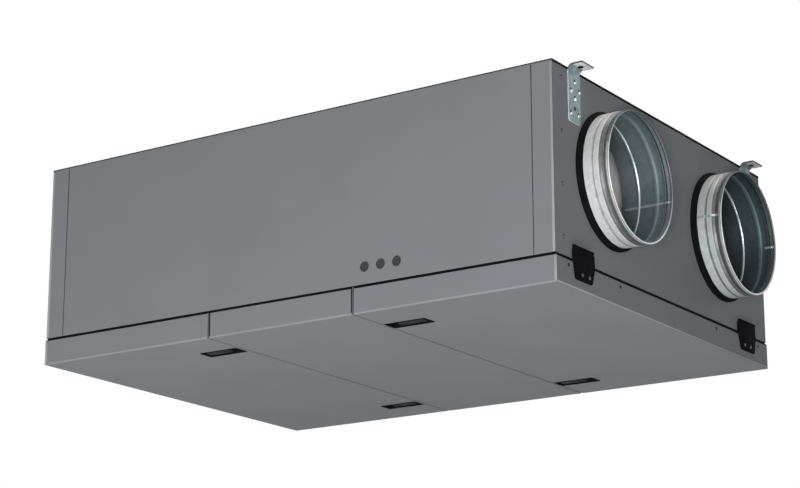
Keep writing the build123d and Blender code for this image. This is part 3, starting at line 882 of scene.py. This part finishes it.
for name, end in ENDS:
    door = f"door_{name}"
    bolts = bmesh.new()
    pad_x = end * (HALF_LENGTH + HINGE_FRONT + PAD_RISE)
    for place, side in SIDES:
        bm = bmesh.new()
        add_cover(bm, end, side)
        cover = f"hinge_cover_{place}_{name}"
        finish_piece(cover, bm, [BLACK_PLASTIC], door, (f"hinge_plates_{name}",))
        for shift in (PAD_SHIFT - COVER_SCREW_SPREAD, PAD_SHIFT + COVER_SCREW_SPREAD):
            at = Vector((pad_x, side * (HINGE_Y - shift), COVER_SCREW_Z))
            add_screw(bolts, at, (end, 0, 0), 4.1, 2.2)
    finish_piece(f"hinge_screws_{name}", bolts, [HINGE_SCREW], door)

# Small fasteners on the end faces: plug caps in slightly wider holes, over black discs as painted shade in
# the holes, and screws in the doors' edges

END_EDGE_INSET = 40.0
PLUG_HEIGHTS = (112.0, 235.0, 358.0, 485.0)
PLUG_CAP = [(-0.3, 3.9), (0.3, 3.9), (0.75, 3.4), (0.95, 1.8), (1.0, 0.0)]
PLUG_GAP_SHADE = [(-0.3, 5.2), (0.05, 5.2), (0.08, 4.8), (0.08, 0.0)]
# The caps sit off-centre, down and back, so the painted shade shows along their upper front
PLUG_SHIFT = Vector((0, 0.5, -0.5))
STRIP_SCREWS = (-483.5, -246.5, 246.5, 483.5)
STRIP_SCREW_Z = 49.5

caps = bmesh.new()
gap_shades = bmesh.new()
for name, end, side in CORNERS:
    for z in PLUG_HEIGHTS:
        place = Vector((end * HALF_LENGTH, side * (HALF_WIDTH - END_EDGE_INSET), z))
        revolve(caps, PLUG_CAP, place + PLUG_SHIFT, (end, 0, 0), SCREW_SEGMENTS)
        revolve(gap_shades, PLUG_GAP_SHADE, place, (end, 0, 0), SCREW_SEGMENTS)
finish_piece("plug_caps", caps, [CASING], "case")
finish_piece("plug_gap_shades", gap_shades, [RUBBER], "case")

for name, end in ENDS:
    bm = bmesh.new()
    for y in STRIP_SCREWS:
        add_screw(bm, Vector((end * DOOR_END, y, STRIP_SCREW_Z)), (end, 0, 0), 4.2, 1.5)
    finish_piece(f"strip_screws_{name}", bm, [DARK_SCREW], f"door_{name}")

# A black line along the case's top edges, round the walls under the lid

LID_STRIP_END = 6.0
LID_STRIP_SIDE = 2.5
LID_STRIP_PROUD = 0.4
bm = bmesh.new()
for name, end in ENDS:
    add_box(
        bm,
        (end * (HALF_LENGTH - 1.0), -HALF_WIDTH - LID_STRIP_PROUD, CASE_HEIGHT - LID_STRIP_END),
        (end * (HALF_LENGTH + LID_STRIP_PROUD), HALF_WIDTH + LID_STRIP_PROUD, CASE_HEIGHT + 0.1),
        0.15,
    )
    add_box(
        bm,
        (-HALF_LENGTH + 0.5, end * (HALF_WIDTH - 1.0), CASE_HEIGHT - LID_STRIP_SIDE),
        (HALF_LENGTH - 0.5, end * (HALF_WIDTH + LID_STRIP_PROUD), CASE_HEIGHT + 0.1),
        0.15,
    )
finish_piece("lid_black_strip", bm, [RUBBER], "case")

# Painted shade in the walls' upright joints: dark strips over the seams

WALL_BOTTOM = 70.0
JOINT_X = 695.0
JOINT_WIDTH = 2.8
TRIM_BEVEL = 0.05
bm = bmesh.new()
for name, end, side in CORNERS:
    low = (end * JOINT_X - JOINT_WIDTH / 2, side * (HALF_WIDTH - 1.0), WALL_BOTTOM + 0.5)
    high = (end * JOINT_X + JOINT_WIDTH / 2, side * (HALF_WIDTH + 0.1), CASE_HEIGHT - 4.0)
    add_box(bm, low, high, TRIM_BEVEL)
finish_piece("joint_shade_lines", bm, [JOINT_GREY], "case")

# A lip folded down from the walls in front of the seals

LIP_THICKNESS = 1.0
LIP_BOTTOM = WALL_BOTTOM - 1.0
LIP_TOP = WALL_BOTTOM + 0.3
LIP_INSET = 0.02
bm = bmesh.new()
for name, end in ENDS:
    low = (end * (HALF_LENGTH - LIP_THICKNESS), -HALF_WIDTH + LIP_INSET, LIP_BOTTOM)
    high = (end * (HALF_LENGTH - LIP_INSET), HALF_WIDTH - LIP_INSET, LIP_TOP)
    add_box(bm, low, high, TRIM_BEVEL)
    low = (-HALF_LENGTH + LIP_THICKNESS, end * (HALF_WIDTH - LIP_THICKNESS), LIP_BOTTOM)
    high = (HALF_LENGTH - LIP_THICKNESS, end * (HALF_WIDTH - LIP_INSET), LIP_TOP)
    add_box(bm, low, high, TRIM_BEVEL)
finish_piece("wall_lip", bm, [CASING], "case")

# Thin strips on the doors' and the fixed panel's outer faces: painted shade under their upper edges and
# beside the panel joints, painted highlights along their lower edges and round the case's upright corners

STRIP_PROUD = 0.08
STRIP_BEVEL = 0.02
SHADE_TOP = 0.02
SIDE_SHADE = {"case": 4.6, "door_right": 2.0, "door_left": 2.0}
END_SHADE = 3.2
JOINT_SHADE = 3.0
PALE_LOW = 1.0
PALE_HIGH = 5.0
CORNER_WIDTH = 6.5
PANELS = (("door_right_pan", "door_right"), ("door_left_pan", "door_left"), ("middle_pan", "case"))


def add_strip(bm, low, high):
    add_box(bm, low, high, STRIP_BEVEL)


def add_end_strips(node, body, shades):
    """A door's strips on its outer end, painted shade under its top and a painted highlight along its foot,
    and painted highlights over its outer corners.
    """
    low, high = node_box(node)
    x = max(low.x, high.x, key=abs)
    left = x - STRIP_PROUD
    right = x + STRIP_PROUD
    add_strip(shades, (left, low.y + 0.3, high.z - END_SHADE), (right, high.y - 0.3, high.z + SHADE_TOP))
    lower = bmesh.new()
    add_strip(lower, (left, low.y + 1.0, PALE_LOW), (right, high.y - 1.0, PALE_HIGH))
    finish_piece(f"{node}_end_edge", lower, [END_EDGE_HIGHLIGHT], body)
    corners = bmesh.new()
    inner = x - CORNER_WIDTH if x > 0 else x + CORNER_WIDTH
    for y in (low.y, high.y):
        near = (min(inner, x) + 0.05, y - STRIP_PROUD, PALE_HIGH)
        far = (max(inner, x) - 0.05, y + STRIP_PROUD, high.z - SIDE_SHADE[body])
        add_strip(corners, near, far)
    finish_piece(f"{node}_corners", corners, [EDGE_HIGHLIGHT], body)


for node, body in PANELS:
    low, high = node_box(node)
    shades = bmesh.new()
    pales = bmesh.new()
    for y in (low.y, high.y):
        front = y - STRIP_PROUD
        back = y + STRIP_PROUD
        shade_bottom = high.z - SIDE_SHADE[body]
        # Painted shade under the upper edge, a painted highlight along the lower edge
        add_strip(shades, (low.x + 1.0, front, shade_bottom), (high.x - 1.0, back, high.z + SHADE_TOP))
        add_strip(pales, (low.x + 1.0, front, PALE_LOW), (high.x - 1.0, back, PALE_HIGH))
        if body == "case":
            for x0, x1 in ((low.x + 0.1, low.x + JOINT_SHADE), (high.x - JOINT_SHADE, high.x - 0.1)):
                add_strip(shades, (x0, front, PALE_HIGH), (x1, back, high.z))
    if body != "case":
        add_end_strips(node, body, shades)
    # The dark strips are painted shade, in the rubber's black
    finish_piece(f"{node}_shades", shades, [RUBBER], body)
    finish_piece(f"{node}_pale_edges", pales, [LOW_EDGE_HIGHLIGHT], body)

# Painted highlights down the case's upright corners
CORNER_DEPTH = 1.0
CORNER_PROUD = 0.06
OUTER_X = HALF_LENGTH + CORNER_PROUD
OUTER_Y = HALF_WIDTH + CORNER_PROUD
bm = bmesh.new()
for name, end, side in CORNERS:
    for inner_x, inner_y in (
        (HALF_LENGTH - CORNER_WIDTH, HALF_WIDTH - 0.5),
        (HALF_LENGTH - 0.5, HALF_WIDTH - CORNER_DEPTH),
    ):
        low = (end * inner_x, side * inner_y, WALL_BOTTOM + 0.5)
        high = (end * OUTER_X, side * OUTER_Y, CASE_HEIGHT - LID_STRIP_END - 0.3)
        add_box(bm, low, high, TRIM_BEVEL)
finish_piece("corner_edges", bm, [EDGE_HIGHLIGHT], "case")

# Cable grommets with a pierced membrane

GROMMET_RADIUS = 12.2
GROMMET_SEGMENTS = 48
WALL_THICKNESS = 50.0
grommet_low, grommet_high = node_box("cable_grommets")
GROMMET_Z = (grommet_low.z + grommet_high.z) / 2
GROMMET_FIRST = grommet_low.x + GROMMET_RADIUS
GROMMET_STEP = (grommet_high.x - grommet_low.x) / 2 - GROMMET_RADIUS
GROMMET_SECTION = [(-WALL_THICKNESS, 0.0), (-WALL_THICKNESS, 11.6)]
GROMMET_SECTION += [(0.5 - WALL_THICKNESS, GROMMET_RADIUS), (0.2, GROMMET_RADIUS)]
GROMMET_SECTION += [(0.5, 11.9), (0.6, 11.2), (0.4, 10.0), (-0.5, 9.4), (-0.8, 8.0)]
GROMMET_SECTION += [(-0.8, 6.4), (-0.4, 5.9), (-0.4, 5.3), (-0.8, 4.8), (-0.7, 2.2), (-0.1, 1.4), (0.0, 0.0)]
bm = bmesh.new()
for i in range(3):
    place = Vector((GROMMET_FIRST + i * GROMMET_STEP, -HALF_WIDTH, GROMMET_Z))
    revolve(bm, GROMMET_SECTION, place, (0, -1, 0), GROMMET_SEGMENTS)
finish_piece("grommet_membranes", bm, [GROMMET_RUBBER], "case", ("cable_grommets",))

# Latches: a flush black tray with a hinged lever in it

TRAY_LENGTH = 115.0
TRAY_WIDTH = 48.0
TRAY_DEPTH = 18.0
TRAY_WALL = 3.0
TRAY_LIP = 1.0
BODY_INSET = 1.2
WELL_INSET = TRAY_WALL + 0.8
MOUTH_INSET = TRAY_WALL + 1.0
LEVER_LENGTH = 72.0
LEVER_WIDTH = 20.0
LEVER_THICK = 6.0
PIN_RADIUS = 1.5
PIN_INSET = 6.0
RIDGE_COUNT = 5
RIDGE_PITCH = 4.0
RIDGE_INSET = 7.0
RIDGE_HALF_LENGTH = 7.0
RIDGE_HALF_WIDTH = 0.9
trays_high = node_box("latch_trays_right")[1]
TRAY_X = {name: sum(corner.x for corner in node_box(f"latch_trays_{name}")) / 2 for name, end in ENDS}
LATCH_Y = trays_high.y - TRAY_WIDTH / 2


def tray_outline(x, y, inset, radius):
    return rounded_rectangle(x, y, TRAY_LENGTH - 2 * inset, TRAY_WIDTH - 2 * inset, radius)


def add_tray(bm, x, y, pin_x):
    """A tray with a rim, walls, a floor and the lever's pin across it."""
    rim = tray_outline(x, y, 0.0, 4.0)
    mouth = tray_outline(x, y, MOUTH_INSET, 3.0)
    body = tray_outline(x, y, BODY_INSET, 1.0)
    well = tray_outline(x, y, WELL_INSET, 3.2)
    add_plate(bm, [rim, mouth], TRAY_LIP + 0.2, 0.35, Vector((0, 0, 0.1 - TRAY_LIP / 2)), FLAT)
    add_plate(bm, [body, well], TRAY_DEPTH - 2.0, 0.2, Vector((0, 0, TRAY_DEPTH / 2 - 0.9)), FLAT)
    add_plate(bm, [body], TRAY_WALL, 0.2, Vector((0, 0, TRAY_DEPTH - TRAY_WALL / 2 - 0.1)), FLAT)
    half = TRAY_WIDTH / 2 - TRAY_WALL
    pin = [(-half, 0.0), (-half, PIN_RADIUS), (half, PIN_RADIUS), (half, 0.0)]
    revolve(bm, pin, Vector((pin_x, y, LEVER_THICK / 2)), (0, 1, 0), 24)


def add_lever(bm, pin_x, y, forward):
    """The lever, pointing forward from its pin, with finger ridges at its free end."""
    start = pin_x - forward * PIN_INSET
    middle = start + forward * LEVER_LENGTH / 2
    outline = rounded_rectangle(middle, y, LEVER_LENGTH, LEVER_WIDTH, 3.5)
    add_plate(bm, [outline], LEVER_THICK, 1.3, Vector((0, 0, LEVER_THICK / 2)), FLAT)
    for i in range(RIDGE_COUNT):
        x = start + forward * (LEVER_LENGTH - RIDGE_INSET - RIDGE_PITCH * i)
        low = (x - RIDGE_HALF_WIDTH, y - RIDGE_HALF_LENGTH, -0.5)
        high = (x + RIDGE_HALF_WIDTH, y + RIDGE_HALF_LENGTH, 0.8)
        add_box(bm, low, high, 0.35)


for name, end in ENDS:
    bm = bmesh.new()
    for place, side in SIDES:
        body = f"lever_{place}_{name}"
        pin_x = PIVOTS[f"{body}_hinge"].x
        add_tray(bm, TRAY_X[name], side * LATCH_Y, pin_x)
        lever = bmesh.new()
        add_lever(lever, pin_x, side * LATCH_Y, end * side)
        finish_piece(body, lever, [LEVER_PLASTIC], body, (f"latch_{body}",))
    trays = (f"latch_trays_{name}",)
    finish_piece(f"latches_{name}", bm, [BLACK_PLASTIC], f"door_{name}", trays)

# Camera and light

CAMERA_PLACE = Vector((2.31965, -4.16440, -1.74903))
CAMERA_FORWARD = Vector((-0.53943385, 0.79784453, 0.2691751))
CAMERA_LENS = 99.86
SENSOR_WIDTH = 36.0
LIGHT_DISTANCE = 5.0


def aim(thing, place, target):
    thing.location = place
    thing.rotation_mode = "QUATERNION"
    thing.rotation_quaternion = (Vector(target) - Vector(place)).to_track_quat("-Z", "Y")


def area_light(name, direction, size, level):
    """A square soft light, its level the share of a plain white surface's brightness that it gives."""
    light = bpy.data.lights.new(name, "AREA")
    light.shape = "SQUARE"
    light.size = size
    light.energy = level * pi * pi * LIGHT_DISTANCE * LIGHT_DISTANCE
    lamp = bpy.data.objects.new(name, light)
    bpy.context.scene.collection.objects.link(lamp)
    target = PLAN_CENTRE + Vector((0, 0, CASE_HEIGHT / 2 * MM))
    aim(lamp, target + Vector(direction).normalized() * LIGHT_DISTANCE, target)


camera_data = bpy.data.cameras.new("camera")
camera_data.lens = CAMERA_LENS
camera_data.sensor_width = SENSOR_WIDTH
camera_data.sensor_fit = "HORIZONTAL"
camera = bpy.data.objects.new("camera", camera_data)
bpy.context.scene.collection.objects.link(camera)
aim(camera, CAMERA_PLACE, CAMERA_PLACE + CAMERA_FORWARD)
bpy.context.scene.camera = camera

area_light("key_light", (0.54, -0.8, -0.27), 0.9, 0.54)
area_light("low_light", (-0.35, -0.66, -0.66), 2.2, 0.59)
area_light("end_light", (0.45, -0.3, -0.84), 0.5, 0.17)
area_light("top_light", (0.1, 0.2, 1.0), 3.0, 0.45)
area_light("back_light", (-0.4, 1.0, 0.2), 2.5, 0.4)

# A white background for the camera and for what metal and glass show of it, and a faint light otherwise

AMBIENT = 0.06
WHITE = (1, 1, 1, 1)
world = bpy.data.worlds.new("studio")
bpy.context.scene.world = world
world.use_nodes = True
tree = world.node_tree
tree.nodes.clear()


def background(strength):
    node = tree.nodes.new("ShaderNodeBackground")
    node.inputs["Color"].default_value = WHITE
    node.inputs["Strength"].default_value = strength
    return node.outputs[0]


def either(first, second):
    node = tree.nodes.new("ShaderNodeMath")
    node.operation = "MAXIMUM"
    tree.links.new(first, node.inputs[0])
    tree.links.new(second, node.inputs[1])
    return node.outputs[0]


path = tree.nodes.new("ShaderNodeLightPath").outputs
shows_white = either(either(path["Is Camera Ray"], path["Is Glossy Ray"]), path["Is Transmission Ray"])
choice = tree.nodes.new("ShaderNodeMixShader")
tree.links.new(shows_white, choice.inputs["Fac"])
tree.links.new(background(AMBIENT), choice.inputs[1])
tree.links.new(background(1.0), choice.inputs[2])
output = tree.nodes.new("ShaderNodeOutputWorld")
tree.links.new(choice.outputs[0], output.inputs["Surface"])

# The floor lies far below the unit, out of the picture

FLOOR_DROP = 6.0
FLOOR_SIZE = 60.0
floor_material, tree, shader, where = new_material("pale_floor", (0.82, 0.82, 0.82), 0.9)
cloudy = blend_colours(tree, noise(tree, where, 0.8), (0.8, 0.8, 0.8), (0.84, 0.84, 0.84))
tree.links.new(cloudy, shader.inputs["Base Color"])
bm = bmesh.new()
bmesh.ops.create_grid(bm, x_segments=4, y_segments=4, size=FLOOR_SIZE / 2)
floor_mesh = bpy.data.meshes.new("floor")
bm.to_mesh(floor_mesh)
bm.free()
floor_mesh.materials.append(floor_material)
floor = bpy.data.objects.new("floor", floor_mesh)
floor.location = PLAN_CENTRE - Vector((0, 0, FLOOR_DROP))
bpy.context.scene.collection.objects.link(floor)

bpy.context.scene.view_settings.view_transform = "Standard"
